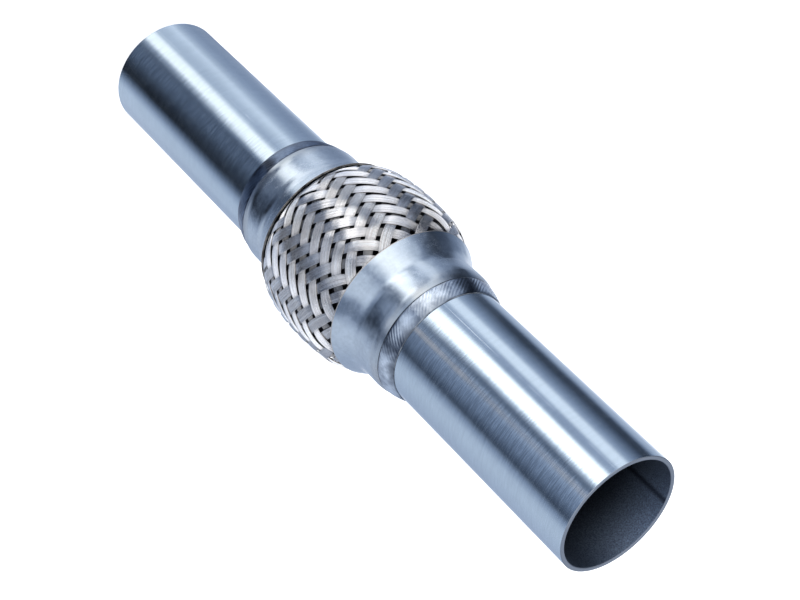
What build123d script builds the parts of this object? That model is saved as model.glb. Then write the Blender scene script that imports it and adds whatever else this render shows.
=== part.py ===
from build123d import *
import os
from math import atan, cos, pi, radians, sin, sqrt, tan

# Exhaust flex pipe: two plain tubes joined by a braided bellows, standing on its inlet end.
# +Z runs along the pipe from the inlet to the outlet, and all sizes are in millimetres.

# Tubes
tube_diameter = 45.0
tube_wall = 1.5
rim_chamfer = 0.2
inlet_reach = 139.6  # inlet's open end to the middle of the flex section
outlet_reach = 136.9  # middle of the flex section to the outlet's open end
tube_inset = 30.0  # middle of the flex section to each tube's inner end

# Layers in each collar's neck, from the tube outwards
sleeve_gap = 0.1  # between the tube and the liner, and between the braid and the collar
layer_gap = 0.05  # between the liner, the two plies and the braid
liner_strip = 0.3
ply_thickness = 0.2
braid_wall = 0.5
collar_wall = 1.2

# Collars, with every offset counted from the middle of the flex section
mouth_offset = 22.05
neck_end_offset = 42.6
mouth_rise = 4.35  # mouth above the neck
mouth_lip = 0.7  # flat edge of the mouth, bevelled inside
mouth_bevel = 0.8  # how far in the bevel runs
flare_angle = 31.0
flare_blend = 11.0  # radius where the flare runs into the neck
crimp_length = 3.8  # the neck's rolled-in end
crimp_drop = 0.7

# Weld beads
bead_length = 6.7
bead_toe = 0.2
bead_swell = 0.4
bead_root = 0.3  # how deep the bead is melted into the tube

# Bellows
convolutions = 9
convolution_pitch = 4.2
crest_rise = 5.9
bend_bevel = 0.5  # across each corner of a convolution
cuff_clearance = 0.2  # layers' ends to the crimped part of the neck

# Interlocked liner
liner_ribs = 14
liner_rib_pitch = 4.0
liner_fold_depth = 1.2

# Outer braid
bulge_rise = 9.25  # the wall's crown above its cuffs
crown_half_length = 13.4
crown_drop = 1.0  # fall of the crown's arc at that half length
carriers = 24  # strands each way round
strand_width = 3.8
strand_rise = 0.4
strand_root = 0.25  # how deep a strand is let into the wall
strand_end_gap = 0.15  # along the pipe, from a strand's raised stretch to the one it dives under
crossing_step = 2.953  # along the pipe, from one crossing to the next
first_crossing = -86.0  # direction of the crossing row that the weave is counted from, in degrees
first_hand_column = 0.5  # middle of a column of right-handed strands, in steps round from that row
second_hand_column = 2.5  # and of left-handed ones
ridge_clearance = 0.6  # last strand to the collar's mouth
ridge_margin = 1.0  # the trimming cylinder's radius over the crown's
slope_reach = 0.3  # stretch of the wall over which its slope is taken
open_gap_rows = 3
open_gap_spacing = 5  # every fifth row of gaps is open through the wall
gap_trim = 0.1

tube_radius = tube_diameter / 2
bore_radius = tube_radius - tube_wall
cuff_end = neck_end_offset - crimp_length - cuff_clearance

liner_inner = tube_radius + sleeve_gap
liner_outer = liner_inner + liner_strip
inner_ply_inner = liner_outer + layer_gap
outer_ply_inner = inner_ply_inner + ply_thickness + layer_gap
braid_cuff_inner = outer_ply_inner + ply_thickness + layer_gap
braid_cuff_outer = braid_cuff_inner + braid_wall
neck_inner = braid_cuff_outer + sleeve_gap
neck_outer = neck_inner + collar_wall
mouth_outer = neck_outer + mouth_rise
flare = radians(flare_angle)
mouth_inner = mouth_outer - collar_wall / cos(flare)
flare_rise = mouth_rise - flare_blend * (1 - cos(flare))  # of the straight stretch, without the blend
neck_start = mouth_offset + flare_rise / tan(flare) + flare_blend * sin(flare)
neck_end = neck_end_offset - crimp_length
bead_end = neck_end_offset + bead_length
bead_top = neck_outer - crimp_drop


def side_plane(side):
    """Profile plane through the axis: x is the radius, y runs outwards from the flex section's middle."""
    return Plane(origin=(0, 0, inlet_reach), x_dir=(1, 0, 0), z_dir=(0, -side, 0))


def save(piece, name):
    piece.label = name
    export_step(piece, f"parts/{name}.step")


def blend_start(radius):
    """Where a collar's flare meets its blend, on the blend's arc of this radius."""
    return (neck_outer + flare_blend - radius * cos(flare), neck_start - radius * sin(flare))


os.makedirs("parts", exist_ok=True)

# The end pieces: a tube, a collar and a weld bead on each side of the flex section
for end, side, reach in (("inlet", -1, inlet_reach), ("outlet", 1, outlet_reach)):

    with BuildPart() as tube:
        with BuildSketch(side_plane(side)) as tube_section:
            with Locations((bore_radius, tube_inset)):
                Rectangle(tube_wall, reach - tube_inset, align=(Align.MIN, Align.MIN))
            chamfer(tube_section.vertices().group_by(Axis.Z)[-1 if side > 0 else 0], length=rim_chamfer)
            with Locations((tube_radius - bead_root, neck_end_offset)):
                Rectangle(bead_root, bead_length, align=(Align.MIN, Align.MIN), mode=Mode.SUBTRACT)
        revolve(axis=Axis.Z)
    save(tube.part, f"{end}_tube")

    # The bell: a straight flare, a round blend, a plain neck and a rolled-in end
    with BuildPart() as collar:
        with BuildSketch(side_plane(side)):
            with BuildLine():
                outer_flare = Line((mouth_outer, mouth_offset), blend_start(flare_blend))
                TangentArc(outer_flare @ 1, (neck_outer, neck_start), tangent=outer_flare % 1)
                for neck in (neck_outer, neck_inner):
                    Line((neck, neck_start), (neck, neck_end))
                    TangentArc((neck, neck_end), (neck - crimp_drop, neck_end_offset), tangent=(0, 1))
                Line((neck_inner - crimp_drop, neck_end_offset), (neck_outer - crimp_drop, neck_end_offset))
                bevel_end = (mouth_inner - mouth_bevel * tan(flare), mouth_offset + mouth_bevel)
                inner_flare = Line(bevel_end, blend_start(flare_blend + collar_wall))
                TangentArc(inner_flare @ 1, (neck_inner, neck_start), tangent=inner_flare % 1)
                Polyline(bevel_end, (mouth_outer - mouth_lip, mouth_offset), (mouth_outer, mouth_offset))
            make_face()
        revolve(axis=Axis.Z)
    save(collar.part, f"{end}_collar")

    # The weld bead: a low fillet from the collar's rolled-in end down to the tube, let into its wall
    bead_middle = ((bead_top + tube_radius + bead_toe) / 2 + bead_swell, neck_end_offset + bead_length / 2)
    with BuildPart() as bead:
        with BuildSketch(side_plane(side)):
            with BuildLine():
                ThreePointArc((bead_top, neck_end_offset), bead_middle, (tube_radius + bead_toe, bead_end))
                Polyline(
                    (tube_radius + bead_toe, bead_end),
                    (tube_radius - bead_root, bead_end),
                    (tube_radius - bead_root, neck_end_offset),
                    (bead_top, neck_end_offset),
                )
            make_face()
        revolve(axis=Axis.Z)
    save(bead.part, f"{end}_weld_bead")

# The pieces between the collars are drawn about the middle of the flex section
flex_plane = side_plane(1)


def wave_line():
    """The line midway between the two plies: a plain cuff at each end, and waves with bevelled corners."""
    root = inner_ply_inner + ply_thickness + layer_gap / 2
    crest = root + crest_rise
    points = [(root, -cuff_end)]
    for n in range(convolutions):
        rising = (n - convolutions / 2 + 1 / 4) * convolution_pitch
        falling = rising + convolution_pitch / 2
        points += [(root, rising - bend_bevel), (root + bend_bevel, rising)]
        points += [(crest - bend_bevel, rising), (crest, rising + bend_bevel)]
        points += [(crest, falling - bend_bevel), (crest - bend_bevel, falling)]
        points += [(root + bend_bevel, falling), (root, falling + bend_bevel)]
    points.append((root, cuff_end))
    return [Vector(*point) for point in points]


def ply_face(points, outwards):
    """That line moved square to itself, with every corner kept on its bisector."""
    moved = []
    for number, point in enumerate(points):
        sides = []
        for start, finish in ((number - 1, number), (number, number + 1)):
            if start >= 0 and finish < len(points):
                sides.append((points[finish] - points[start]).normalized())
        normals = [Vector(along.Y, -along.X) for along in sides]
        bisector = normals[0] + normals[-1]
        moved.append(point + bisector * (outwards / (1 + normals[0].dot(normals[-1]))))
    return moved


for name, inner_face in (
    ("bellows_inner_ply", -ply_thickness - layer_gap / 2),
    ("bellows_outer_ply", layer_gap / 2),
):
    near_face = ply_face(wave_line(), inner_face)
    far_face = ply_face(wave_line(), inner_face + ply_thickness)
    with BuildPart() as ply:
        with BuildSketch(flex_plane):
            with BuildLine():
                Polyline(*near_face, *reversed(far_face), close=True)
            make_face()
        revolve(axis=Axis.Z)
    save(ply.part, name)

# The liner: a strip folded in and out, with a plain cuff over each tube's inner end
with BuildPart() as liner:
    ribbed_length = liner_ribs * liner_rib_pitch
    fold = [(liner_inner, -cuff_end)]
    for n in range(liner_ribs):
        low = n * liner_rib_pitch - ribbed_length / 2 + liner_rib_pitch / 4
        high = low + liner_rib_pitch / 2
        fold += [(liner_inner, low), (liner_inner - liner_fold_depth, low)]
        fold += [(liner_inner - liner_fold_depth, high), (liner_inner, high)]
    fold.append((liner_inner, cuff_end))
    with BuildSketch(flex_plane):
        with BuildLine() as strip:
            Polyline(*fold)
            offset(amount=liner_strip, side=Side.RIGHT, kind=Kind.INTERSECTION)
        make_face()
    revolve(axis=Axis.Z)
save(liner.part, "interlocked_liner")

# The outer braid's wall: a crown, a shoulder on each side down to the collar's mouth, and a throat
# that runs on inside the collar to the cuff, each an arc tangent to the next
crown_radius = braid_cuff_outer + bulge_rise
crown_bend = (crown_half_length**2 + crown_drop**2) / (2 * crown_drop)
crown_centre = Vector(crown_radius - crown_bend, 0)
shoulder_start = Vector(crown_radius - crown_drop, crown_half_length)
mouth_point = Vector(mouth_inner - sleeve_gap - strand_rise, mouth_offset)
inwards = (crown_centre - shoulder_start).normalized()
shoulder_chord = mouth_point - shoulder_start
shoulder_bend = shoulder_chord.length**2 / (2 * shoulder_chord.dot(inwards))
shoulder_centre = shoulder_start + inwards * shoulder_bend
outwards = (mouth_point - shoulder_centre).normalized()
throat_bend = (mouth_point.X - braid_cuff_outer) / (1 - outwards.X)
throat_centre = mouth_point + outwards * throat_bend
throat_end = throat_centre.Y


def wall_radius(height):
    """The wall's outer radius at a height above or below the flex section's middle."""
    height = abs(height)
    if height < crown_half_length:
        return crown_centre.X + sqrt(crown_bend**2 - height**2)
    if height < mouth_offset:
        return shoulder_centre.X + sqrt(shoulder_bend**2 - (height - shoulder_centre.Y) ** 2)
    if height < throat_end:
        return throat_centre.X - sqrt(throat_bend**2 - (throat_end - height) ** 2)
    return braid_cuff_outer


def wall_arc(start, end):
    """The piece of the wall's outline between two heights."""
    return ThreePointArc(*[(wall_radius(h), h) for h in (start, (start + end) / 2, end)])


# The weave: every strand runs over two others and under two. Its raised stretches stand in columns
# along the pipe, one column for each way round in every two strands' share of the circle.
turn_step = 180 / carriers
turn_rate = turn_step / crossing_step
strand_angle = atan(crown_radius * radians(turn_rate))
strand_half = 1.5 * crossing_step - strand_width / (4 * sin(strand_angle)) - strand_end_gap
ridge_limit = mouth_offset - ridge_clearance


def weave_point(height, direction):
    """A point of the wall's outer face, from its height and its direction in degrees."""
    around = radians(direction)
    radius = wall_radius(height)
    return Vector(radius * cos(around), radius * sin(around), inlet_reach + height)


def weave_normal(height, direction):
    """The wall's outward normal there."""
    up = weave_point(height + slope_reach, direction) - weave_point(height - slope_reach, direction)
    around = weave_point(height, direction + 1) - weave_point(height, direction - 1)
    return around.cross(up).normalized()


with BuildPart() as weave_repeat:
    for hand, column in ((1, first_hand_column), (-1, second_hand_column)):
        lift = 2 * crossing_step
        count = int((ridge_limit + strand_half) / lift) + 1
        for n in range(-count, count + 1):
            middle = hand * crossing_step / 2 + n * lift
            if abs(middle) > ridge_limit + strand_half:
                continue
            for shift in (-strand_half, 0, strand_half):
                height = middle + shift
                direction = first_crossing + column * turn_step + hand * turn_rate * shift
                normal = weave_normal(height, direction)
                along = weave_point(height + slope_reach, direction + hand * turn_rate * slope_reach)
                along = along - weave_point(height, direction)
                width = strand_width * wall_radius(height) / crown_radius
                across = Plane(weave_point(height, direction), x_dir=normal.cross(along), z_dir=along)
                with BuildSketch(across):
                    with Locations((0, -strand_root)):
                        Rectangle(width, strand_root + strand_rise, align=(Align.CENTER, Align.MIN))
            loft(ruled=True)
    with Locations((0, 0, inlet_reach)):
        Cylinder(crown_radius + ridge_margin, 2 * ridge_limit, mode=Mode.INTERSECT)

# The open gaps, one for each row, between the strands' edges
with BuildPart() as gap_column:
    for row in range(open_gap_rows):
        crossing = (row - open_gap_rows // 2) * open_gap_spacing
        height = crossing * crossing_step
        direction = first_crossing + turn_step * (1 - crossing % 2)
        half_round = pi * wall_radius(height) / carriers - strand_width / (2 * cos(strand_angle)) - gap_trim
        half_along = crossing_step - strand_width / (2 * sin(strand_angle)) - gap_trim
        normal = weave_normal(height, direction)
        face = Plane(weave_point(height, direction), x_dir=Vector(0, 0, 1).cross(normal), z_dir=normal)
        with BuildSketch(face):
            with BuildLine():
                Polyline((half_round, 0), (0, half_along), (-half_round, 0), (0, -half_along), close=True)
            make_face()
        extrude(amount=2 * braid_wall, both=True)

with BuildPart() as braid:
    with BuildSketch(flex_plane):
        with BuildLine():
            Line((braid_cuff_outer, -cuff_end), (braid_cuff_outer, -throat_end))
            wall_arc(-throat_end, -mouth_offset)
            wall_arc(-mouth_offset, -crown_half_length)
            wall_arc(-crown_half_length, crown_half_length)
            wall_arc(crown_half_length, mouth_offset)
            wall_arc(mouth_offset, throat_end)
            Line((braid_cuff_outer, throat_end), (braid_cuff_outer, cuff_end))
            offset(amount=braid_wall, side=Side.LEFT, kind=Kind.INTERSECTION)
        make_face()
    revolve(axis=Axis.Z)
    with PolarLocations(0, carriers):
        add(gap_column.part, mode=Mode.SUBTRACT)
    with PolarLocations(0, carriers // 2):
        add(weave_repeat.part)
save(braid.part, "outer_braid")
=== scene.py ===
# %% [markdown]
# # A braided exhaust flex pipe
# Two plain steel tubes are joined by a short bellows, and a sleeve of woven wire covers the bellows.
# The solids come ready packed and are loaded first, and they stay where they are: they are the frame
# that every other piece is fitted to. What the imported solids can't carry, such as single wires and the
# ripples of a weld, is worked out here as surfaces, in metres, in the same frame. The pipe stands on
# its inlet, with its axis along Z.

# %% Load the frame
from math import cos, pi, radians, sin

import bpy
import numpy as np
from mathutils import Matrix, Vector


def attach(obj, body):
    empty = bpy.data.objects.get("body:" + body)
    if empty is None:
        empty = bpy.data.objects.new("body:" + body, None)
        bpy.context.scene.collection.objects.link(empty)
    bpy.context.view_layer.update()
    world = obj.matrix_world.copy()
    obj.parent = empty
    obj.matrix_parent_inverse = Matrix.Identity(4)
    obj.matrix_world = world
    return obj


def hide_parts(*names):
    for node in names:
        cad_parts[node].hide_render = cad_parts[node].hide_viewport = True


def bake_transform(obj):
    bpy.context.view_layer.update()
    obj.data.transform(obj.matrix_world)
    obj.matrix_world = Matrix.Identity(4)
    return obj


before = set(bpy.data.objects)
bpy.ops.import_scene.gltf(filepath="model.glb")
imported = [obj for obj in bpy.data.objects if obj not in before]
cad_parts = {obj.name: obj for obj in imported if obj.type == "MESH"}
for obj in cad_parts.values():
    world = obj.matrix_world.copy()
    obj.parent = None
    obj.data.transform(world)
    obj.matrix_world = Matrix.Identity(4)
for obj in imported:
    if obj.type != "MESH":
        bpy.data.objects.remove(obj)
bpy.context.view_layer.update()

print("solids:", ", ".join(sorted(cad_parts)))

# %% [markdown]
# ## Sizes
# The pieces below fit onto the solids, so they start from the same few sizes. The middle of the flex
# section is the height that everything between the two collars is counted from, and the two sides are
# mirror images about it. An offset here is a distance above or below that middle.

# %% Sizes, in metres
MM = 0.001
middle_height = 139.6 * MM
total_height = 276.5 * MM
tube_radius, bore_radius = 22.5 * MM, 21.0 * MM
mouth_offset = 22.05 * MM  # where the braid comes out of a collar
neck_end_offset = 42.6 * MM  # where a collar's neck meets its weld bead
cuff_end = 38.6 * MM  # where braid, bellows and liner end inside the neck
print("flex section's middle at", middle_height, "of", total_height)

# %% [markdown]
# ## Camera
# The photograph looks down at the pipe at about 37 degrees, with the camera rolled over so far that the
# outlet, which is on top here, points to the lower right. A roll is easiest to get from three plain
# steps: look along +Y, tip down, then turn about the line of sight. A long lens keeps the far tube
# nearly as wide as the near one.

# %% Camera
camera_place = Vector((0.0, -501.7, 536.6)) * MM
camera_tip, camera_roll = radians(36.91), radians(134.41)
camera_lens, sensor_width = 82.32, 36.0
sideways = -0.0005  # the line of sight leans a hair to the left

level_right = Vector((1, 0, 0))
level_up = Vector((0, sin(camera_tip), cos(camera_tip)))
looking = Vector((sideways, cos(camera_tip), -sin(camera_tip))).normalized()
right = (level_right * cos(camera_roll) + level_up * sin(camera_roll)).normalized()
up = right.cross(looking)

camera_data = bpy.data.cameras.new("camera")
camera_data.sensor_width = sensor_width
camera_data.lens = camera_lens
camera = bpy.data.objects.new("camera", camera_data)
turned = Matrix((right, up, -looking)).transposed().to_4x4()
camera.matrix_world = Matrix.Translation(camera_place) @ turned
bpy.context.scene.collection.objects.link(camera)
bpy.context.scene.camera = camera
bpy.context.scene.view_settings.view_transform = "Standard"
print("camera right", [round(v, 4) for v in right], "up", [round(v, 4) for v in up])

# %% [markdown]
# ## Helpers for shader nodes
# Every finish here is a small net of nodes. Short helpers keep the nets readable: one adds a node and
# feeds its inputs in the same line, and the others wrap the few nodes that come up again and again.

# %% Node helpers
def feed(tree, socket, value):
    """Gives an input socket its value: a plain one, or a link from another node's output."""
    if isinstance(value, bpy.types.NodeSocket):
        tree.links.new(value, socket)
    else:
        socket.default_value = value


def node(tree, kind, inputs=None, **settings):
    """Adds a node, with its settings and its inputs."""
    made = tree.nodes.new(kind)
    for key, value in settings.items():
        setattr(made, key, value)
    for key, value in (inputs or {}).items():
        feed(tree, made.inputs[key], value)
    return made


def calc(tree, operation, first, second=0.0, third=0.0):
    """One arithmetic step on numbers or sockets, as an output socket."""
    return node(tree, "ShaderNodeMath", {0: first, 1: second, 2: third}, operation=operation).outputs[0]


def fade(tree, value, start, end, low=0.0, high=1.0):
    """A soft step: low before start, high after end, and an S-curve between them."""
    inputs = {"Value": value, "From Min": start, "From Max": end, "To Min": low, "To Max": high}
    return node(tree, "ShaderNodeMapRange", inputs, interpolation_type="SMOOTHSTEP").outputs["Result"]


def by_half(tree, height, inlet_value=0.0, outlet_value=1.0):
    """One value on the pipe's inlet half and another on its outlet half."""
    return fade(tree, height, middle_height - MM, middle_height + MM, inlet_value, outlet_value)


def blend_colours(tree, share, first, second, how="MIX"):
    """Two colours mixed or multiplied by a share."""
    inputs = {0: share, 6: first, 7: second}
    return node(tree, "ShaderNodeMix", inputs, data_type="RGBA", blend_type=how).outputs[2]


def shaded(tree, colour, tone):
    """A colour times a number that changes over the surface."""
    grey = node(tree, "ShaderNodeCombineColor", {0: tone, 1: tone, 2: tone}).outputs[0]
    return blend_colours(tree, 1.0, colour, grey, "MULTIPLY")


def direction_round(tree, axes):
    """Direction round Z in radians: 0 on the camera's side, which is -Y, and growing towards +X."""
    return calc(tree, "ARCTAN2", axes["X"], calc(tree, "MULTIPLY", axes["Y"], -1.0))


print("node helpers ready")

# %% [markdown]
# An effect that several finishes share is a group: a net of its own with named inputs and outputs, which
# is built once. Each material places it with its own values.

# %% Group helpers
def new_group(name, inputs, outputs):
    """A node group. Inputs are (name, kind, value) and outputs (name, kind). Returns tree, ins, outs."""
    tree = bpy.data.node_groups.new(name, "ShaderNodeTree")
    for label, kind, value in inputs:
        socket = tree.interface.new_socket(label, in_out="INPUT", socket_type="NodeSocket" + kind)
        if value is not None:
            socket.default_value = value
    for label, kind in outputs:
        tree.interface.new_socket(label, in_out="OUTPUT", socket_type="NodeSocket" + kind)
    return tree, tree.nodes.new("NodeGroupInput").outputs, tree.nodes.new("NodeGroupOutput").inputs


def use_group(tree, group, inputs):
    """Places a group in a material with its own values, and gives its outputs."""
    return node(tree, "ShaderNodeGroup", inputs, node_tree=group).outputs


print("group helpers ready")

# %% [markdown]
# ## Studio
# Polished tube is a mirror, and what gives it its look is what stands round it. A straight tube repeats
# its surroundings as stripes along its length: each stripe on the metal is one upright card or window
# in the room. Lamps alone would leave it black between their highlights. So the room here is a ring of
# tall cards, written as stops of brightness against the direction round the pipe. There are five rings,
# one over the other: a low one for the far collar, which looks down, two that the far tube mirrors at its
# end and at its collar, one for the near tube, and one round the horizon for the near collar and the
# wires. Strips lie on the ground below them, and a pale ceiling over them. The camera itself sees plain
# white.

# %% Brightness of the cards
PEAK = 2.4  # the brightest card, where plain white is 1

# Strips on the ground: (place from left to right, brightness).
floor_strips = (
    (-0.30, 0.9), (-0.20, 1.2), (-0.12, 1.7), (-0.05, 1.25), (-0.02, 0.4), (0.02, 0.08), (0.30, 0.12),
)
# Rings: (direction round the pipe in degrees, 0 being the camera's side, brightness).
low_ring = (
    (-180, 0.14), (-173, 0.45), (-164, 0.95), (-150, 0.95), (-135, 0.9), (-118, 0.85), (-106, 1.0),
    (-92, 0.7), (-80, 1.2), (-66, 1.35), (-50, 1.5), (-20, 1.5), (-9, 0.45), (0, 0.12), (40, 0.14),
    (73, 0.19), (96, 0.18), (108, 0.22), (124, 0.50), (136, 0.42), (150, 0.15), (160, 0.22), (172, 0.15),
    (180, 0.10),
)
end_ring = (
    (-180, 0.28), (-166, 0.30), (-140, 0.38), (-118, 0.38), (-100, 0.48), (-88, 0.68), (-79, 0.98),
    (-72, 0.84), (-60, 0.70), (-46, 0.68), (-38, 1.65), (-22, 1.65), (-14, 0.28), (-4, 0.11), (8, 0.15),
    (20, 0.12), (30, 0.08), (40, 0.03), (52, 0.01), (60, 0.0), (69, 0.17), (82, 0.52), (92, 0.74),
    (120, 0.70), (146, 0.58), (158, 0.62), (168, 0.72), (180, 0.70),
)
far_ring = (
    (-180, 1.00), (-168, 1.00), (-158, 0.80), (-146, 0.52), (-130, 0.38), (-116, 0.35), (-96, 0.42),
    (-82, 0.60), (-70, 1.06), (-58, 0.80), (-46, 0.54), (-38, 0.58), (-31, 1.70), (-12, 1.75), (-5, 0.36),
    (2, 0.11), (12, 0.13), (22, 0.13), (32, 0.09), (42, 0.06), (52, 0.04), (63, 0.02), (73, 0.13),
    (84, 0.44), (98, 0.65), (118, 0.66), (136, 0.54), (150, 0.52), (166, 0.55), (180, 0.80),
)
near_ring = (
    (-180, 1.2), (-166, 1.15), (-152, 0.60), (-139, 0.54), (-131, 0.34), (-122, 0.07), (-110, 0.05),
    (-100, 0.13), (-88, 0.29), (-78, 0.50), (-71, 1.2), (-58, 1.15), (-52, 0.47), (-40, 0.42), (-32, 2.4),
    (-15, 2.4), (-9, 0.68), (-2, 0.15), (4, 0.16), (11, 0.50), (20, 0.41), (30, 0.27), (40, 0.24),
    (50, 0.14), (60, 0.07), (70, 0.38), (84, 0.68), (100, 0.70), (150, 0.50), (162, 0.56), (171, 0.98),
    (180, 1.1),
)
high_ring = (
    (-180, 0.60), (-150, 0.50), (-128, 0.26), (-114, 0.10), (-94, 0.03), (-84, 0.07), (-74, 0.30),
    (-64, 0.66), (-50, 1.2), (-34, 1.7), (-18, 1.7), (-9, 1.0), (0, 0.34), (12, 0.72), (26, 0.92),
    (38, 0.76), (47, 0.32), (55, 0.17), (62, 0.25), (70, 0.58), (84, 0.78), (100, 0.74), (130, 0.56),
    (160, 0.46), (180, 0.60),
)
ceiling = 1.5
rows = (floor_strips, low_ring, end_ring, far_ring, near_ring, high_ring)
print("cards in each row:", [len(row) for row in rows], "of 32 at most")

# %% Rows of cards
world = bpy.data.worlds.new("studio")
bpy.context.scene.world = world
world.use_nodes = True
studio = world.node_tree
studio.nodes.clear()
sight = node(studio, "ShaderNodeTexCoord").outputs["Generated"]
sight_axes = node(studio, "ShaderNodeSeparateXYZ", {0: sight}).outputs
around = direction_round(studio, sight_axes)


def card_colour(level):
    """A card's brightness as a colour, as a share of the peak. Cards below 0.7 are bluer the darker they
    are, and those above it whiter up to 1.6."""
    dark = max(0.0, 1 - level / 0.7)
    bright = min(1.0, max(0.0, (level - 0.7) / 0.9))
    tint = (0.87 - 0.16 * dark, 0.97 - 0.09 * bright, 1.16 + 0.38 * dark - 0.26 * bright)
    return [level * part / PEAK for part in tint] + [1.0]


def row_of_cards(share, stops):
    """A colour ramp against a share from 0 to 1. Its stops are (share, brightness)."""
    ramp = node(studio, "ShaderNodeValToRGB", {0: share})
    stack = ramp.color_ramp.elements
    while len(stack) > 1:
        stack.remove(stack[0])
    for number, (place, brightness) in enumerate(stops):
        stop = stack[0] if number == 0 else stack.new(place)
        stop.position = place
        stop.color = card_colour(brightness)
    return ramp.outputs["Color"]


def ring_of_cards(ring, drift, level):
    """A row of cards against the direction round the pipe. They lean, so the ring turns by drift for each
    unit of height above its own level."""
    lean = calc(studio, "MULTIPLY_ADD", sight_axes["Z"], -drift, drift * level)
    turn = calc(studio, "MULTIPLY_ADD", calc(studio, "ADD", around, lean), 1 / (2 * pi), 0.5)
    stops = [(degrees / 360 + 0.5, brightness) for degrees, brightness in ring]
    return row_of_cards(calc(studio, "FRACT", turn), stops)


print("card helpers ready")

# %% [markdown]
# The rows are laid over each other from the ground up. Each takes over from the one below it between two
# heights. A height here is the Z of a ray's direction: -1 looks straight down, and 0 is the horizon.

# %% The room
across = calc(studio, "ADD", sight_axes["X"], 0.5)
room = row_of_cards(across, [(x + 0.5, brightness) for x, brightness in floor_strips])
for start, end, row in (
    (-0.972, -0.95, ring_of_cards(low_ring, 0.0, 0.0)),
    (-0.91, -0.83, ring_of_cards(end_ring, 1.0, -0.73)),
    (-0.73, -0.68, ring_of_cards(far_ring, 1.0, -0.68)),
    (-0.63, -0.57, ring_of_cards(near_ring, 0.8, -0.53)),
    (-0.45, -0.22, ring_of_cards(high_ring, 0.0, 0.0)),
    (0.50, 0.72, card_colour(ceiling)),
):
    room = blend_colours(studio, fade(studio, sight_axes["Z"], start, end), room, row)
room_light = node(studio, "ShaderNodeBackground", {"Color": room, "Strength": PEAK})
plain_white = node(studio, "ShaderNodeBackground", {"Color": (1, 1, 1, 1), "Strength": 1.0})
seen = node(studio, "ShaderNodeLightPath").outputs["Is Camera Ray"]
mixed = node(studio, "ShaderNodeMixShader", {0: seen, 1: room_light.outputs[0], 2: plain_white.outputs[0]})
node(studio, "ShaderNodeOutputWorld", {"Surface": mixed.outputs[0]})
print("studio:", len(studio.nodes), "nodes")

# %% [markdown]
# The floor is a plain pale sheet. Its own glow for the camera lifts it to white and leaves a faint shadow
# where the pipe stands. The metal looks past it to the cards, as it would on a small glass table, so the
# sheet is switched off for mirror rays and casts no shadow itself.

# %% Floor
floor_glow = 0.62  # what the room's light leaves short of white
half_floor, floor_drop = 4.0, 0.2 * MM

floor_paint = bpy.data.materials.new("floor_paint")
floor_paint.use_nodes = True
paint = floor_paint.node_tree
paint.nodes.clear()
glow = calc(paint, "MULTIPLY", node(paint, "ShaderNodeLightPath").outputs["Is Camera Ray"], floor_glow)
sheet = node(paint, "ShaderNodeBsdfPrincipled", {
    "Base Color": (0.86, 0.86, 0.86, 1), "Roughness": 0.9, "Emission Color": (1, 1, 1, 1),
    "Emission Strength": glow,
})
node(paint, "ShaderNodeOutputMaterial", {"Surface": sheet.outputs[0]})

corners = [(x * half_floor, y * half_floor, -floor_drop) for x, y in ((-1, -1), (1, -1), (1, 1), (-1, 1))]
floor_mesh = bpy.data.meshes.new("floor")
floor_mesh.from_pydata(corners, [], [(0, 1, 2, 3)])
floor_mesh.materials.append(floor_paint)
floor = bpy.data.objects.new("floor", floor_mesh)
bpy.context.scene.collection.objects.link(floor)
floor.visible_glossy = False
floor.visible_shadow = False
print("floor", 2 * half_floor, "m square")

# %% [markdown]
# ## Shared effects
# Brushed steel is covered in fine lines that run round the tube. They come from a noise that is squeezed
# hard along the axis and barely changes round it. A second, broad noise gives the cloudy patches that
# handling leaves. Both are masks from 0 to 1, so each material decides what they change. A third, smooth
# one is a height, for the shallow dents of sheet that was formed and dressed by hand.

# %% Brushed lines, clouds and dents
brushed_lines, ins, outs = new_group(
    "brushed_lines", [("Place", "Vector", None), ("Lines per metre", "Float", 1500.0)], [("Lines", "Float")]
)
along = ins["Lines per metre"]
around_tube = calc(brushed_lines, "MULTIPLY", along, 0.06)
stretch = node(brushed_lines, "ShaderNodeCombineXYZ", {0: around_tube, 1: around_tube, 2: along}).outputs[0]
squeezed = node(brushed_lines, "ShaderNodeVectorMath", {0: ins["Place"], 1: stretch}, operation="MULTIPLY")
fine = node(brushed_lines, "ShaderNodeTexNoise", {
    "Vector": squeezed.outputs[0], "Scale": 1.0, "Detail": 3.0, "Roughness": 0.6})
feed(brushed_lines, outs["Lines"], fade(brushed_lines, fine.outputs["Fac"], 0.30, 0.70))

clouds, ins, outs = new_group(
    "clouds", [("Place", "Vector", None), ("Size", "Float", 0.02)], [("Clouds", "Float")]
)
scale = calc(clouds, "DIVIDE", 1.0, ins["Size"])
broad = node(clouds, "ShaderNodeTexNoise", {
    "Vector": ins["Place"], "Scale": scale, "Detail": 3.0, "Roughness": 0.6})
feed(clouds, outs["Clouds"], fade(clouds, broad.outputs["Fac"], 0.35, 0.68))

dents, ins, outs = new_group(
    "dents", [("Place", "Vector", None), ("Size", "Float", 0.01)], [("Height", "Float")]
)
scale = calc(dents, "DIVIDE", 1.0, ins["Size"])
rolling = node(dents, "ShaderNodeTexNoise", {
    "Vector": ins["Place"], "Scale": scale, "Detail": 1.0, "Roughness": 0.4})
feed(dents, outs["Height"], rolling.outputs["Fac"])
print("groups:", [group.name for group in bpy.data.node_groups])

# %% [markdown]
# A rolled tube has a weld seam along it, and a handled one has a few long scuffs. Both are lines of one
# direction round the pipe. This group marks such a line: it takes the direction of each point round the
# axis, and fades with the distance from the wanted one. Directions and widths are in degrees.

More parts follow.
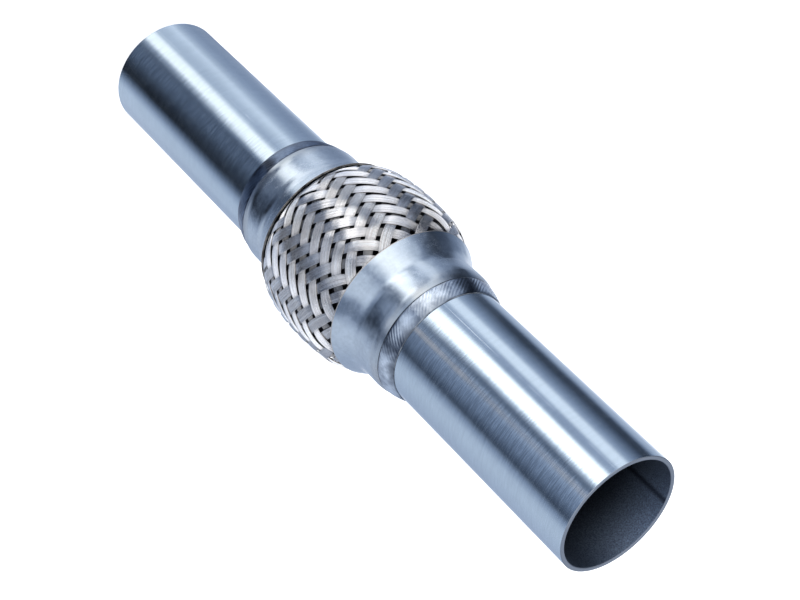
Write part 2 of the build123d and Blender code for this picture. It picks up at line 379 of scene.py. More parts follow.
# %% Lines along the tube
line_along, ins, outs = new_group(
    "line_along",
    [("Place", "Vector", None), ("Direction", "Float", 0.0), ("Half width", "Float", 1.0)],
    [("Line", "Float")],
)
axes = node(line_along, "ShaderNodeSeparateXYZ", {0: ins["Place"]}).outputs
facing = calc(line_along, "MULTIPLY", direction_round(line_along, axes), 180 / pi)
away = calc(line_along, "WRAP", calc(line_along, "SUBTRACT", facing, ins["Direction"]), 180.0, -180.0)
share = calc(line_along, "ABSOLUTE", calc(line_along, "DIVIDE", away, ins["Half width"]))
feed(line_along, outs["Line"], fade(line_along, share, 1.0, 0.0))
print("line_along ready")

# %% [markdown]
# ## Tube steel
# One solid carries three finishes: the brushed outside, the ground rim at the open end, and the dark, dull
# bore. A painted map would need the surface unwrapped, so masks from the point's own place tell them apart.
# The outside comes first. It is nearly a mirror, and brushing shows on it as a shade that changes from
# line to line, most of all over the broad strip on the camera's side that was ground. The weld seam is a
# duller, warmer line along that strip, and the far tube's seam is at the back.

# %% Tube steel, outside
def steel(name, slot_colour):
    """A new material with its Principled shader, its tree and the point's own place."""
    material = bpy.data.materials.new(name)
    material.use_nodes = True
    tree = material.node_tree
    tree.nodes.clear()
    material.diffuse_color = slot_colour
    shader = node(tree, "ShaderNodeBsdfPrincipled", {"Metallic": 1.0})
    node(tree, "ShaderNodeOutputMaterial", {"Surface": shader.outputs[0]})
    place = node(tree, "ShaderNodeTexCoord").outputs["Object"]
    return material, tree, shader, place


TUBE_COLOUR = (0.59, 0.68, 0.75, 1)
SEAM_COLOUR = (0.76, 0.68, 0.62, 1)
SCUFF_COLOUR = (0.86, 0.90, 0.95, 1)

tube_steel, tree, shader, place = steel("tube_steel", TUBE_COLOUR)
axes = node(tree, "ShaderNodeSeparateXYZ", {0: place}).outputs
lines = use_group(tree, brushed_lines, {"Place": place, "Lines per metre": 2900.0})["Lines"]
patches = use_group(tree, clouds, {"Place": place, "Size": 0.03})["Clouds"]
ground = use_group(tree, line_along, {"Place": place, "Direction": 10.0, "Half width": 34.0})["Line"]
contrast = calc(tree, "MULTIPLY", ground, by_half(tree, axes["Z"], 0.34, 0.40))
tone = calc(tree, "MULTIPLY_ADD", lines, 0.08, 0.95)
tone = calc(tree, "MULTIPLY_ADD", calc(tree, "SUBTRACT", lines, 0.5), contrast, tone)
tone = calc(tree, "MULTIPLY_ADD", patches, 0.05, tone)
outside = shaded(tree, TUBE_COLOUR, tone)

seam_direction = by_half(tree, axes["Z"], 164.0, 7.5)
seam = use_group(tree, line_along, {"Place": place, "Direction": seam_direction, "Half width": 4.6})["Line"]
wear = calc(tree, "MULTIPLY_ADD", lines, 0.15, calc(tree, "MULTIPLY_ADD", patches, 0.30, 0.18))
worn_seam = calc(tree, "MULTIPLY", seam, wear)
outside = blend_colours(tree, worn_seam, outside, SEAM_COLOUR)
scuff = use_group(tree, line_along, {"Place": place, "Direction": -24.0, "Half width": 0.7})["Line"]
scuff = calc(tree, "MULTIPLY", scuff, patches)
outside = blend_colours(tree, calc(tree, "MULTIPLY", scuff, 0.35), outside, SCUFF_COLOUR)
print("tube_steel, outside:", len(tree.nodes), "nodes")

# %% [markdown]
# Inside, the tube is as it left the mill: dark and gritty. Along its seam runs a near-black line, a painted
# shadow of the weld ridge there, and the bore is painted lighter near the open end and on one side, as
# painted light falling into it. The distance from the axis finds the bore. The rim was cut and deburred,
# and the height finds it.

# %% Tube steel, bore and rim
GRIT_DARK, GRIT_LIGHT = (0.078, 0.094, 0.134, 1), (0.176, 0.220, 0.275, 1)
BORE_SEAM_SHADOW_COLOUR, RIM_COLOUR = (0.015, 0.018, 0.03, 1), (0.24, 0.27, 0.32, 1)
# Painted light reaches this far into the bore from either open end.
painted_light_depth = 22 * MM

grit = node(tree, "ShaderNodeTexNoise", {"Vector": place, "Scale": 2200.0, "Detail": 2.0}).outputs["Fac"]
bore_colour = blend_colours(tree, fade(tree, grit, 0.25, 0.85), GRIT_DARK, GRIT_LIGHT)
# Painted shadow: the inner seam's weld ridge is not built, and its shadow is painted as a near-black line.
bore_seam_shadow = use_group(tree, line_along, {"Place": place, "Direction": -141.0, "Half width": 5.0})["Line"]
bore_colour = blend_colours(tree, calc(tree, "MULTIPLY", bore_seam_shadow, 0.8), bore_colour, BORE_SEAM_SHADOW_COLOUR)
# Painted light: near either open end the bore is painted lighter, most of all on one side, up to about
# eight times the deep bore.
near_top = fade(tree, axes["Z"], total_height - painted_light_depth, total_height)
near_bottom = fade(tree, axes["Z"], painted_light_depth, 0.0)
lit_side = use_group(tree, line_along, {"Place": place, "Direction": -172.0, "Half width": 80.0})["Line"]
lit_side = calc(tree, "MULTIPLY_ADD", lit_side, 3.0, 0.6)
painted_light_in_bore = calc(tree, "MULTIPLY_ADD", calc(tree, "MAXIMUM", near_top, near_bottom), lit_side, 0.5)
bore_colour = shaded(tree, bore_colour, painted_light_in_bore)

squared = calc(tree, "ADD", calc(tree, "POWER", axes["X"], 2.0), calc(tree, "POWER", axes["Y"], 2.0))
in_bore = fade(tree, calc(tree, "SQRT", squared), bore_radius + 0.5 * MM, bore_radius + 0.2 * MM)
top_rim = fade(tree, axes["Z"], total_height - 0.25 * MM, total_height - 0.15 * MM)
bottom_rim = fade(tree, axes["Z"], 0.25 * MM, 0.15 * MM)
on_rim = calc(tree, "MAXIMUM", top_rim, bottom_rim)
surface_colour = blend_colours(tree, in_bore, outside, bore_colour)
feed(tree, shader.inputs["Base Color"], blend_colours(tree, on_rim, surface_colour, RIM_COLOUR))

# A trace of dust in the brushing is not metal, and it keeps the darkest stripes from going black.
feed(tree, shader.inputs["Metallic"], calc(tree, "MULTIPLY_ADD", lines, -0.02, 1.0))
dullness = calc(tree, "MULTIPLY_ADD", patches, 0.04, 0.12)
dullness = calc(tree, "MULTIPLY_ADD", worn_seam, 0.5, dullness)
dullness = calc(tree, "MULTIPLY_ADD", scuff, 0.25, dullness)
dullness = calc(tree, "MAXIMUM", dullness, calc(tree, "MULTIPLY", in_bore, 0.55))
dullness = calc(tree, "MAXIMUM", dullness, calc(tree, "MULTIPLY", on_rim, 0.5))
feed(tree, shader.inputs["Roughness"], dullness)
print("tube_steel:", len(tree.nodes), "nodes")

# %% [markdown]
# ## Collar steel
# The collars are pressed from sheet, with coarser lines than the tube and a duller, cloudier surface. Heat
# from the weld leaves a faint straw shade and a dark, ringed band next to the bead, both fading up the
# neck. The edge of the mouth was cut and shows as a warm line. Dressing by hand has left shallow dents,
# deeper on the near collar: they are too shallow for the outline, so they are a bump in the finish.

# %% Collar steel
COLLAR_COLOUR = (0.63, 0.70, 0.76, 1)
STRAW, SCORCHED, CUT_EDGE = (0.62, 0.56, 0.50, 1), (0.1, 0.1, 0.1, 1), (0.60, 0.57, 0.53, 1)
heated_length = 6 * MM
far_dent_depth, near_dent_depth = 0.05 * MM, 0.42 * MM

collar_steel, tree, shader, place = steel("collar_steel", COLLAR_COLOUR)
height = node(tree, "ShaderNodeSeparateXYZ", {0: place}).outputs["Z"]
offset = calc(tree, "ABSOLUTE", calc(tree, "SUBTRACT", height, middle_height))
lines = use_group(tree, brushed_lines, {"Place": place, "Lines per metre": 1100.0})["Lines"]
patches = use_group(tree, clouds, {"Place": place, "Size": 0.010})["Clouds"]
speckle = use_group(tree, clouds, {"Place": place, "Size": 0.0014})["Clouds"]
tone = calc(tree, "MULTIPLY_ADD", lines, 0.04, 0.86)
tone = calc(tree, "MULTIPLY_ADD", patches, 0.10, tone)
tone = calc(tree, "MULTIPLY_ADD", speckle, 0.07, tone)
colour = shaded(tree, COLLAR_COLOUR, tone)

heated = fade(tree, offset, neck_end_offset - heated_length, neck_end_offset)
straw = calc(tree, "MULTIPLY", heated, calc(tree, "MULTIPLY", patches, 0.35))
colour = blend_colours(tree, straw, colour, STRAW)
rings = use_group(tree, brushed_lines, {"Place": place, "Lines per metre": 750.0})["Lines"]
scorched = calc(tree, "MULTIPLY", heated, by_half(tree, height, 0.30, 0.22))
scorched = calc(tree, "MULTIPLY", scorched, calc(tree, "MULTIPLY_ADD", rings, 1.0, 0.5))
colour = blend_colours(tree, scorched, colour, SCORCHED)
edge = fade(tree, offset, mouth_offset + 0.35 * MM, mouth_offset + 0.1 * MM)
feed(tree, shader.inputs["Base Color"], blend_colours(tree, edge, colour, CUT_EDGE))

dullness = calc(tree, "MULTIPLY_ADD", lines, 0.03, 0.15)
dullness = calc(tree, "MULTIPLY_ADD", patches, 0.08, dullness)
dullness = calc(tree, "MULTIPLY_ADD", speckle, 0.04, dullness)
dullness = calc(tree, "MAXIMUM", dullness, calc(tree, "MULTIPLY", edge, 0.45))
feed(tree, shader.inputs["Roughness"], dullness)
dented = use_group(tree, dents, {"Place": place, "Size": 0.009})["Height"]
depth = by_half(tree, height, far_dent_depth, near_dent_depth)
bumps = node(tree, "ShaderNodeBump", {"Height": dented, "Distance": depth, "Strength": 1.0})
feed(tree, shader.inputs["Normal"], bumps.outputs["Normal"])
print("collar_steel:", len(tree.nodes), "nodes")

# %% [markdown]
# Tubes and collars are plain turned shapes, and their solids are fine enough to be seen as they are. Only
# their material slots are filled, and their meshes stay untouched.

# %% Finish the solids that stay
finishes = {
    "inlet_tube": tube_steel, "outlet_tube": tube_steel,
    "inlet_collar": collar_steel, "outlet_collar": collar_steel,
}
for name, material in finishes.items():
    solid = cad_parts[name]
    for slot in solid.material_slots:
        slot.material = material
    print(name, len(solid.data.polygons), "faces,", len(solid.material_slots), "slots")

# %% [markdown]
# ## Meshes from grids
# A surface that two numbers describe, such as the turn round the pipe and the step along a profile, is a
# grid of points. The grid's faces follow from counting alone, so one helper makes them for every piece: it
# joins each point to its neighbours, and round to the first again where the surface closes.

# %% Grid helpers
def grid_faces(rows, columns, wrap_rows, wrap_columns):
    """Four-sided faces of a grid, as an array of point numbers, wound so that rows x columns points out."""
    row = np.arange(rows if wrap_rows else rows - 1)
    column = np.arange(columns if wrap_columns else columns - 1)
    row, column = (side.ravel() for side in np.meshgrid(row, column, indexing="ij"))
    next_row, next_column = (row + 1) % rows, (column + 1) % columns
    corners = (row * columns + column, row * columns + next_column,
               next_row * columns + next_column, next_row * columns + column)
    return np.stack(corners, axis=1)


def new_piece(name, points, faces, material):
    """A smooth mesh piece from arrays of points and four-sided faces, at the origin."""
    mesh = bpy.data.meshes.new(name)
    mesh.vertices.add(len(points))
    mesh.vertices.foreach_set("co", np.asarray(points, np.float32).ravel())
    mesh.loops.add(faces.size)
    mesh.loops.foreach_set("vertex_index", faces.ravel().astype(np.int32))
    mesh.polygons.add(len(faces))
    mesh.polygons.foreach_set("loop_start", np.arange(0, faces.size, 4, dtype=np.int32))
    mesh.polygons.foreach_set("use_smooth", np.ones(len(faces), bool))
    mesh.update(calc_edges=True)
    mesh.validate()
    mesh.materials.append(material)
    piece = bpy.data.objects.new(name, mesh)
    bpy.context.scene.collection.objects.link(piece)
    print(name, len(points), "points,", 2 * len(faces), "triangles")
    return piece


def keep_on_points(piece, name, values):
    """Stores one number for each point of a piece, for its material to read."""
    attribute = piece.data.attributes.new(name, "FLOAT", "POINT")
    attribute.data.foreach_set("value", np.asarray(values, np.float32).ravel())


def soft_step(value, start, end):
    """0 before start, 1 after end, and between them 3 s^2 - 2 s^3 for the share s of the way."""
    share = np.clip((value - start) / (end - start), 0, 1)
    return share * share * (3 - 2 * share)


print("grid helpers ready")

# %% [markdown]
# Bellows and liner are thin walls turned round the axis. Such a wall is closed by going out along one of
# its sides and back along the other, and sweeping that outline round.

# %% Turned walls
def wall_outline(outer, inner):
    """A closed outline from a wall's two sides, each (radius, offset): out along one, back on the other."""
    radius = np.concatenate([outer[0], inner[0][::-1]])
    height = np.concatenate([outer[1], inner[1][::-1]]) + middle_height
    return radius, height


def revolved(radius, height, turns):
    """A closed outline swept round Z: (r cos a, r sin a, z) for each of its points and each turn a."""
    a = np.arange(turns) * 2 * pi / turns
    x, y = radius[:, None] * np.cos(a), radius[:, None] * np.sin(a)
    points = np.stack([x, y, np.repeat(height[:, None], turns, axis=1)], axis=-1)
    return points.reshape(-1, 3), grid_faces(len(radius), turns, True, True)


print("turned walls ready")

# %% [markdown]
# ## The braid's own shape
# The sleeve of wire bulges over the bellows and dives under the collars' mouths. Its outline is three arcs
# on each side, each tangent to the next: a long crown, a shoulder, and a throat inside the collar. Written
# as a function of the height above or below the middle, it gives the radius anywhere.

# %% The braid's outline
crown_radius, cuff_radius = 33.2 * MM, 23.95 * MM
crown_half, crown_fall = 13.4 * MM, 1.0 * MM
mouth_radius = 27.7 * MM

crown_bend = (crown_half**2 + crown_fall**2) / (2 * crown_fall)
shoulder_top = np.array([crown_radius - crown_fall, crown_half])
mouth_point = np.array([mouth_radius, mouth_offset])
inwards = (np.array([crown_radius - crown_bend, 0]) - shoulder_top) / crown_bend
chord = mouth_point - shoulder_top
shoulder_bend = chord @ chord / (2 * chord @ inwards)
shoulder_middle = shoulder_top + inwards * shoulder_bend
leaving = (mouth_point - shoulder_middle) / shoulder_bend
throat_bend = (mouth_radius - cuff_radius) / (1 - leaving[0])
throat_middle = mouth_point + leaving * throat_bend


def wall_radius(height):
    """Radius of the sleeve's wall: arcs of a crown, a shoulder and a throat, then a plain cuff. An arc is
    its middle's radius plus or minus the root of bend^2 - distance^2."""
    h = np.abs(height)
    crown = crown_radius - crown_bend + np.sqrt(np.maximum(crown_bend**2 - h**2, 0))
    shoulder = shoulder_middle[0] + np.sqrt(np.maximum(shoulder_bend**2 - (h - shoulder_middle[1]) ** 2, 0))
    throat = throat_middle[0] - np.sqrt(np.maximum(throat_bend**2 - (throat_middle[1] - h) ** 2, 0))
    ranges = [h < crown_half, h < mouth_offset, h < throat_middle[1]]
    return np.select(ranges, [crown, shoulder, throat], cuff_radius)


def wall_slope(height, step=0.05 * MM):
    """How much the wall's radius grows for each metre of height, between two points close by."""
    return (wall_radius(height + step) - wall_radius(height - step)) / (2 * step)


for h in (0, 13.4, 17.9, 22.05, 30):
    print("height", h, "radius", round(float(wall_radius(h * MM)) / MM, 2))

# %% [markdown]
# ## Wires
# Twenty-four strands wind each way, and each is a flat ribbon of ten wires. A strand passes over two
# strands of the other hand and then under two. What matters is where it changes sides: in the narrow gap
# between two crossing strands, so the wire's height is a function of how far along it lies in the other
# hand's count of strands. That count is just direction plus or minus a share of the height, which makes
# the whole weave a formula: no wire has to be laid by hand.

# %% Sizes of the weave
strands, wires = 24, 10
step_along, step_round = 2.953 * MM, radians(7.5)  # from one crossing to the next, along and round
rate = step_round / step_along
first_crossing = radians(-86.0)
wire_radius, wire_spacing = 0.18 * MM, 0.372 * MM
wire_wander, wander_knots = 0.008 * MM, 9  # how unevenly a wire lies in its strand
held_share, free_share = 0.42, 0.20  # half thickness of a wire in radii: when held, and more when free
layer_half, cuff_layer_half = 0.30 * MM, 0.13 * MM  # from the weave's middle to either layer of strands
strand_rise, strand_sag = 0.4 * MM, 0.05 * MM  # of the weave over the wall, and of a strand's two sides
pinch = 0.14  # how much narrower a strand is where it goes under
sharpness = 1.3  # of the change from over to under
free_end, held_start = 21.8 * MM, 24.4 * MM  # between these offsets the collar flattens the weave
print("one strand turns", round(float(np.degrees(2 * cuff_end * rate))), "degrees from end to end")

# %% Wire paths
def wire_lattice(hand, stations, seed):
    """Direction and offset of one hand's wires, as arrays [wire, station]. A strand's own line is
    direction = start + hand * rate * offset. A wire lies a few spacings to its side, measured square to the
    strand on the sleeve's surface, and closer together where the strand is pinched under others."""
    rng = np.random.default_rng(seed)
    strand = np.repeat(np.arange(strands), wires)[:, None]
    side = (np.tile(np.arange(wires), strands)[:, None] - (wires - 1) / 2) * wire_spacing
    along = stations[None, :] + 0 * strand
    wander = rng.normal(0, wire_wander, (strands * wires, wander_knots))
    knots = np.linspace(-cuff_end, cuff_end, wander_knots)
    wander = np.stack([np.interp(stations, knots, w) for w in wander])

    radius = wall_radius(along)
    meridian = np.sqrt(1 + wall_slope(along) ** 2)
    length = np.hypot(radius * rate, meridian)
    narrow = 0.90 + 0.10 * radius / crown_radius
    over = hand * np.cos((hand * (2 * strand + along / step_along) - 0.5) * pi / 2)
    beside = (side + wander) * narrow * (1 - pinch * (1 - over) / 2)
    line = first_crossing + hand * strand * 2 * step_round + hand * rate * along
    direction = line - hand * beside * meridian / (length * radius)
    offset = along + beside * radius * rate / (length * meridian)
    return strand, side, direction, np.clip(offset, -cuff_end, cuff_end)


def wire_centres(hand, stations, seed):
    """Centre lines of one hand's wires, as an array [wire, station, xyz], with the wall's outward normals
    and the wires' half thickness. A wire's height over the weave's middle swings with cos(quarter turns of
    the other hand's strand count), sharpened as tanh(k cos) / tanh(k)."""
    strand, side, direction, offset = wire_lattice(hand, stations, seed)
    crossed = (hand * (direction - first_crossing) + rate * offset) / (2 * step_round)
    swing = hand * np.cos((hand * (strand + crossed) - 0.5) * pi / 2)
    swing = np.tanh(sharpness * swing) / np.tanh(sharpness)

    free = 1 - soft_step(np.abs(offset), free_end, held_start)
    thick = wire_radius * (held_share + free_share * free)
    half = cuff_layer_half + (layer_half - cuff_layer_half) * free
    sag = strand_sag * (side / (wires * wire_spacing / 2)) ** 2 * free
    centre = wall_radius(offset) + strand_rise * free - thick - half + half * swing - sag
    out = np.stack([np.cos(direction), np.sin(direction), -wall_slope(offset)], axis=-1)
    out /= np.linalg.norm(out, axis=-1, keepdims=True)
    x, y = centre * np.cos(direction), centre * np.sin(direction)
    return np.stack([x, y, middle_height + offset], axis=-1), out, thick


# A wire's stations lie close together where it shows, and far apart where a collar hides it.
visible = np.linspace(-22.8, 22.8, 60) * MM
tucked = np.linspace(24.2, cuff_end / MM, 4) * MM
stations = np.concatenate([-tucked[::-1], visible, tucked])
print(len(stations), "stations a wire,", 2 * strands * wires, "wires")

# %% [markdown]
# A wire under tension in a braid is pressed flat where it rubs on others. Round tubes would need a dozen
# sides each to look smooth. Six sides with a flat land on top and underneath do for 480 wires, and they
# catch the light as the pressed wires do.

# %% Wires as tubes
LAND = 0.38  # half the width of a land, as a share of the wire's radius
TIP = 0.02  # size of a tube's first and last ring, as a share of the others
WIRE_ACROSS = np.array([1, LAND, -LAND, -1, -LAND, LAND])
WIRE_OUT = np.array([0, 1, 1, 0, -1, -1])
SIDES = len(WIRE_ACROSS)


def wire_tubes(points, out, thick):
    """Six-sided tubes round centre lines, with a flat land on top and underneath. Each ring is centre +
    side * across + out * thickness, where side is square to the wire and to the outward normal. Both ends
    narrow almost to a point, and two faces cap each."""
    along = np.gradient(points, axis=1)
    along /= np.linalg.norm(along, axis=-1, keepdims=True)
    across = np.cross(along, out)
    across /= np.linalg.norm(across, axis=-1, keepdims=True)
    out = np.cross(across, along)
    size = np.ones(points.shape[1])
    size[[0, -1]] = TIP
    ring = (across[:, :, None, :] * (wire_radius * WIRE_ACROSS)[:, None]
            + out[:, :, None, :] * (thick[:, :, None] * WIRE_OUT)[..., None])
    grid = points[:, :, None, :] + ring * size[:, None, None]

    cap, last = np.array([[3, 2, 1, 0], [5, 4, 3, 0]]), (points.shape[1] - 1) * SIDES
    faces = np.concatenate([grid_faces(points.shape[1], SIDES, False, True), cap, cap[:, ::-1] + last])
    whole = faces[None] + (np.arange(len(points)) * points.shape[1] * SIDES)[:, None, None]
    return grid.reshape(-1, 3), whole.reshape(-1, 4)[:, ::-1]


def sharpen_lands(piece):
    """Marks the edges beside each wire's lands as sharp: both ends of such an edge have the same corner."""
    mesh = piece.data
    ends = np.empty(2 * len(mesh.edges), np.int32)
    mesh.edges.foreach_get("vertices", ends)
    corner = ends.reshape(-1, 2) % SIDES
    sharp = (corner[:, 0] == corner[:, 1]) & (WIRE_OUT[corner[:, 0]] != 0)
    mesh.attributes.new("sharp_edge", "BOOLEAN", "EDGE").data.foreach_set("value", sharp)


print("a wire has", SIDES, "sides")

# %% [markdown]
# ## Wire steel
# Drawn wire is bright and neutral, and no two wires in a ribbon are turned or worn quite alike. A random
# number for each wire, kept in the mesh, shifts its shade a little. Where the two layers meet the wire is
# painted darker, as painted shadow and for the dirt that sits there, and the height over the wall gives
# that mask.

# %% Wire steel
WIRE_COLOUR = (0.96, 0.94, 0.93, 1)
wire_steel, tree, shader, place = steel("wire_steel", WIRE_COLOUR)
shade = node(tree, "ShaderNodeAttribute", attribute_name="shade").outputs["Fac"]
depth = node(tree, "ShaderNodeAttribute", attribute_name="depth").outputs["Fac"]
patches = use_group(tree, clouds, {"Place": place, "Size": 0.006})["Clouds"]
# The shade number is a random tone for each wire, with painted shade laid on a strand's outer wires.
tone = calc(tree, "MULTIPLY_ADD", shade, 0.30, 0.78)
tone = calc(tree, "MULTIPLY_ADD", patches, 0.06, tone)
# Painted shadow and dirt: wires low over the wall, where the layers meet, are darkened down to about a
# fifth.
tone = calc(tree, "MULTIPLY", tone, fade(tree, depth, 0.0, 0.75, 0.22, 1.0))
feed(tree, shader.inputs["Base Color"], shaded(tree, WIRE_COLOUR, tone))
feed(tree, shader.inputs["Roughness"], calc(tree, "MULTIPLY_ADD", shade, 0.06, 0.08))
print("wire_steel:", len(tree.nodes), "nodes")

# %% [markdown]
# Each hand of the braid is one piece, woven by the same formula with the sign turned. The outer wires of a
# strand are painted darker than the middle ones, a painted shade along the strand's edges, which sets the
# strands apart.

# %% Weave both hands
depth_start, depth_range = -0.35 * MM, 0.75 * MM  # of the mask, from the wall outwards

braids = []
for name, hand, seed in (("braid_right_hand_wires", 1, 11), ("braid_left_hand_wires", -1, 23)):
    centres, out, thick = wire_centres(hand, stations, seed)
    points, faces = wire_tubes(centres, out, thick)
    braid = new_piece(name, points, faces, wire_steel)
    sharpen_lands(braid)
    # Painted shade: the shade number of a strand's outer wires is cut, to about half on the outermost.
    place_in_strand = np.abs(np.tile(np.arange(wires), strands) - (wires - 1) / 2) / (wires / 2)
    shade = np.random.default_rng(seed + 1).uniform(0.3, 1, strands * wires) * (1 - place_in_strand**6)
    keep_on_points(braid, "shade", np.repeat(shade, len(stations) * SIDES))
    over_wall = np.hypot(points[:, 0], points[:, 1]) - wall_radius(points[:, 2] - middle_height)
    keep_on_points(braid, "depth", np.clip((over_wall - depth_start) / depth_range, 0, 1))
    braids.append(braid)

# %% [markdown]
# ## Bellows and liner
# Under the wire lies the gas-tight part: two thin steel tubes formed together into deep waves. They show
# only as dark shapes through the weave. A wave that bulges at crest and root
# is a sine whose steps along the axis are shifted by a sine of twice the rate.

# %% Bellows plies
# Painted shade and dirt: the bellows' steel is made near black, for the shade it sits in under the braid.
BELLOWS_DIRT_AND_SHADE_DARK, BELLOWS_DIRT_AND_SHADE_LIGHT = (0.05, 0.05, 0.055, 1), (0.10, 0.10, 0.11, 1)
bellows_steel, tree, shader, place = steel("bellows_steel", BELLOWS_DIRT_AND_SHADE_LIGHT)
lines = use_group(tree, brushed_lines, {"Place": place, "Lines per metre": 900.0})["Lines"]
feed(tree, shader.inputs["Base Color"], blend_colours(tree, lines, BELLOWS_DIRT_AND_SHADE_DARK, BELLOWS_DIRT_AND_SHADE_LIGHT))
feed(tree, shader.inputs["Roughness"], calc(tree, "MULTIPLY_ADD", lines, 0.1, 0.35))

waves, wave_pitch, crest_rise, ply = 9, 4.2 * MM, 5.9 * MM, 0.2 * MM


def wave_line(inner_radius, shift):
    """A ply's middle line: radius = root + rise * (1 - cos t) / 2 and offset = pitch * (t / 2 pi -
    0.09 sin 2t), moved square to itself by shift, with a plain cuff at each end."""
    t = np.linspace(0, waves * 2 * pi, waves * 16 + 1)
    radius = inner_radius + ply / 2 + crest_rise * (1 - np.cos(t)) / 2
    offset = wave_pitch * (t / (2 * pi) - waves / 2 - 0.09 * np.sin(2 * t))
    across, along = np.gradient(radius), np.gradient(offset)
    size = np.hypot(across, along)
    radius, offset = radius + shift * along / size, offset - shift * across / size
    cuff = inner_radius + ply / 2 + shift
    return np.concatenate([[cuff], radius, [cuff]]), np.concatenate([[-cuff_end], offset, [cuff_end]])


flexing = list(braids)
for name, inner_radius in (("bellows_inner_ply", 22.95 * MM), ("bellows_outer_ply", 23.2 * MM)):
    outline = wall_outline(wave_line(inner_radius, ply / 2), wave_line(inner_radius, -ply / 2))
    points, faces = revolved(*outline, 96)
    wave = new_piece(name + "_waves", points, faces, bellows_steel)
    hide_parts(name)
    flexing.append(wave)

# %% [markdown]
# Inside the bellows a strip is folded round and round into a liner, which keeps the gas off the waves. Its
# folds are straight rings here and not a helix, so that one turned outline makes it.

# %% Folded liner
LINER_DARK, LINER_LIGHT = (0.24, 0.22, 0.21, 1), (0.42, 0.40, 0.38, 1)
liner_steel, tree, shader, place = steel("liner_steel", LINER_LIGHT)
patches = use_group(tree, clouds, {"Place": place, "Size": 0.004})["Clouds"]
feed(tree, shader.inputs["Base Color"], blend_colours(tree, patches, LINER_DARK, LINER_LIGHT))
feed(tree, shader.inputs["Roughness"], calc(tree, "MULTIPLY_ADD", patches, 0.15, 0.35))

folds, fold_pitch = 14, 4.0 * MM
fold_high, fold_low, strip_half = 22.75 * MM, 21.55 * MM, 0.15 * MM


def fold_line(shift):
    """The strip's middle line, a square wave with soft corners: radius follows tanh(7 cos t) and is moved
    by shift."""
    t = np.linspace(0, folds * 2 * pi, folds * 14 + 1)
    swing = (1 + np.tanh(7 * np.cos(t)) / np.tanh(7)) / 2
    radius = fold_low + (fold_high - fold_low) * swing + shift
    offset = fold_pitch * (t / (2 * pi) - folds / 2)
    end = fold_high + shift
    return np.concatenate([[end], radius, [end]]), np.concatenate([[-cuff_end], offset, [cuff_end]])


points, faces = revolved(*wall_outline(fold_line(strip_half), fold_line(-strip_half)), 72)
liner = new_piece("interlocked_liner_folds", points, faces, liner_steel)
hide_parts("interlocked_liner")
flexing.append(liner)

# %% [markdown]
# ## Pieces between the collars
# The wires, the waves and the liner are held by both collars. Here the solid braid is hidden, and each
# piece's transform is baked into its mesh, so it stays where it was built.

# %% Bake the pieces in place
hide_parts("outer_braid")
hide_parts("outer_braid")
for piece in flexing:
    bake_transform(piece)
print("bending pieces:", [piece.name for piece in flexing])

# %% [markdown]
# ## Weld beads
# Each collar is welded to its tube by a bead that was laid in small overlapping puddles as the pipe turned
# under the torch. The near bead is bright where it was brushed, and the far one is left dark. Both edges
# are painted dark as painted shade in the creases, soot sits where the parts were tacked together first,
# and a number kept in the mesh says where.

# %% Weld steel
FAR_CLEAN, NEAR_CLEAN = (0.20, 0.26, 0.36, 1), (0.78, 0.85, 0.92, 1)
FAR_BURNT, NEAR_BURNT = (0.09, 0.12, 0.18, 1), (0.34, 0.38, 0.44, 1)
SHADE_AND_SOOT = (0.05, 0.06, 0.08, 1)

weld_steel, tree, shader, place = steel("weld_steel", (0.52, 0.57, 0.65, 1))
near = by_half(tree, node(tree, "ShaderNodeSeparateXYZ", {0: place}).outputs["Z"])
patches = use_group(tree, clouds, {"Place": place, "Size": 0.008})["Clouds"]
clean = blend_colours(tree, near, FAR_CLEAN, NEAR_CLEAN)
burnt = blend_colours(tree, near, FAR_BURNT, NEAR_BURNT)
colour = blend_colours(tree, patches, burnt, clean)
# Painted shade at the bead's edges and soot at the tacks both blend the colour towards near black.
edge_shade_and_soot = node(tree, "ShaderNodeAttribute", attribute_name="edge_shade_and_soot").outputs["Fac"]
shade_and_soot = calc(tree, "MULTIPLY", edge_shade_and_soot, calc(tree, "MULTIPLY_ADD", patches, -0.3, 1.0))
feed(tree, shader.inputs["Base Color"], blend_colours(tree, shade_and_soot, colour, SHADE_AND_SOOT))
pitted = use_group(tree, dents, {"Place": place, "Size": 0.0014})["Height"]
bumps = node(tree, "ShaderNodeBump", {"Height": pitted, "Distance": 0.03 * MM, "Strength": 1.0})
feed(tree, shader.inputs["Normal"], bumps.outputs["Normal"])
dullness = calc(tree, "MULTIPLY_ADD", near, -0.02, 0.18)
feed(tree, shader.inputs["Roughness"], calc(tree, "MULTIPLY_ADD", patches, 0.06, dullness))
print("weld_steel:", len(tree.nodes), "nodes")

# %% [markdown]
# The puddles freeze as fine ripples that lie aslant, like the lay of a rope. As a surface, the radius is
# the bead's plain section plus a low wave, and the wave's phase grows with the direction round the pipe
# and falls across the bead, which slants it. The far bead has half as many ripples, each twice as high.

# %% Rippled beads
bead_length, bead_turns, bead_rows = 6.7 * MM, 576, 33
bead_top, bead_foot, bead_swell = 24.4 * MM, 22.6 * MM, 0.42 * MM
slant = 5.0  # how many ripples a line along the pipe crosses
tack_spread, foot_spread = 0.13, 0.35  # how widely soot lies round a tack, and along the foot


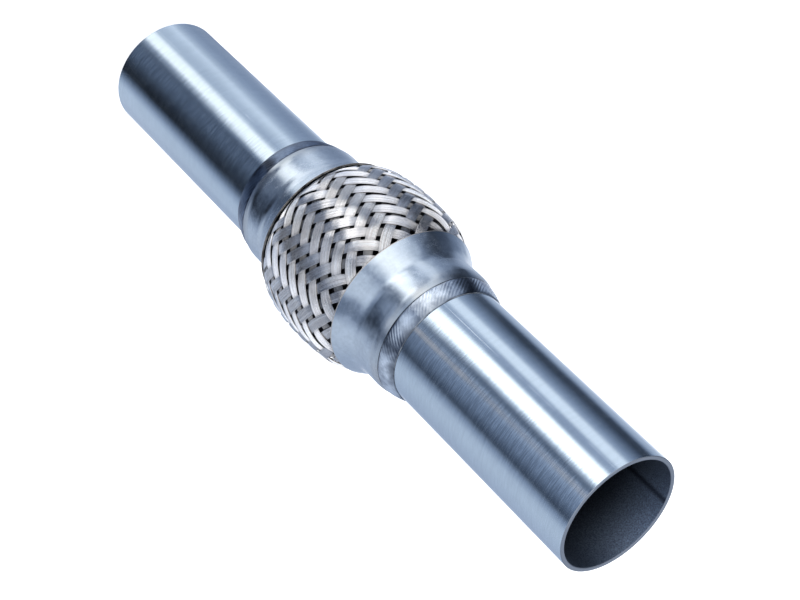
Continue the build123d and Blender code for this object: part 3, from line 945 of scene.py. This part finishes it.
def bead_surface(side, name, seed, tack, ripples, ripple_height):
    """A ring: rows run across the bead on its outside and back along the tube, columns run round the pipe.
    Outside radius = top to foot in a line + swell * root of 4x(1-x) + height * sin(ripples * turn -
    2 pi slant x), where x goes from 0 at the collar to 1 at the tube. Sines of the turn make the ripples
    worn and uneven. The edge_shade_and_soot value is 1 at both edges, as painted shade in the creases
    beside the bead, and 0 on the crown. It rises at the four places where the weld was tacked, for soot,
    by exp((cos(4 (turn - tack)) - 1) / spread), and over the foot on the half with the first of them."""
    rng = np.random.default_rng(seed)
    a = np.arange(bead_turns) * 2 * pi / bead_turns
    x = np.linspace(0, 1, bead_rows)[:, None]
    uneven = sum(rng.normal(0, 0.5 / k) * np.sin(k * a + rng.uniform(0, 6)) for k in (2, 3, 5, 8))
    wave = np.sin(ripples * a - 2 * pi * slant * x + 2 * pi * uneven)
    body = np.clip(6 * x * (1 - x), 0, 1)
    worn = 0.55 + 0.45 * np.sin(3 * a + seed) * np.sin(5 * a)
    radius = bead_top + (bead_foot - bead_top) * x + bead_swell * np.sqrt(4 * x * (1 - x))
    radius = radius + ripple_height * wave * body * worn
    edge = x + 0.012 * (np.sin(9 * a + seed) + np.sin(23 * a)) * body
    seat = np.array([[1.0], [0.0]]) + 0 * a
    radius = np.concatenate([radius, tube_radius + 0 * seat])
    offset = neck_end_offset + bead_length * np.concatenate([edge, seat])
    points = np.stack([radius * np.cos(a), radius * np.sin(a), middle_height + side * offset], axis=-1)
    faces = grid_faces(bead_rows + 2, bead_turns, True, True)
    faces = faces if side > 0 else faces[:, ::-1]
    bead = new_piece(name, points.reshape(-1, 3), faces, weld_steel)

    # Painted shade: the colour darkens along both edges of the bead, in the creases beside collar and tube.
    edge_shade_width = 0.12 + 0.07 * np.sin(4 * a + seed) + 0.04 * np.sin(17 * a)
    edge_shade_and_soot = 1 - soft_step(x * (1 - x), 0.0, edge_shade_width)
    tacked = 0.95 * np.exp((np.cos(4 * (a - tack)) - 1) / tack_spread)
    foot = 0.85 * soft_step(x, 0.5, 0.95) * np.exp((np.cos(a - tack) - 1) / foot_spread)
    edge_shade_and_soot = np.maximum(edge_shade_and_soot, np.maximum(tacked, foot))
    keep_on_points(bead, "edge_shade_and_soot", np.concatenate([edge_shade_and_soot, np.ones((2, bead_turns))]))
    return bead


for side, end, tack, ripples, ripple_height in (
    (-1, "inlet", -1.66, 48, 0.14 * MM),
    (1, "outlet", -1.0, 96, 0.07 * MM),
):
    bead = bead_surface(side, end + "_weld_ripples", 5 + side, tack, ripples, ripple_height)
    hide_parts(end + "_weld_bead")
    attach(bead, end + "_end")
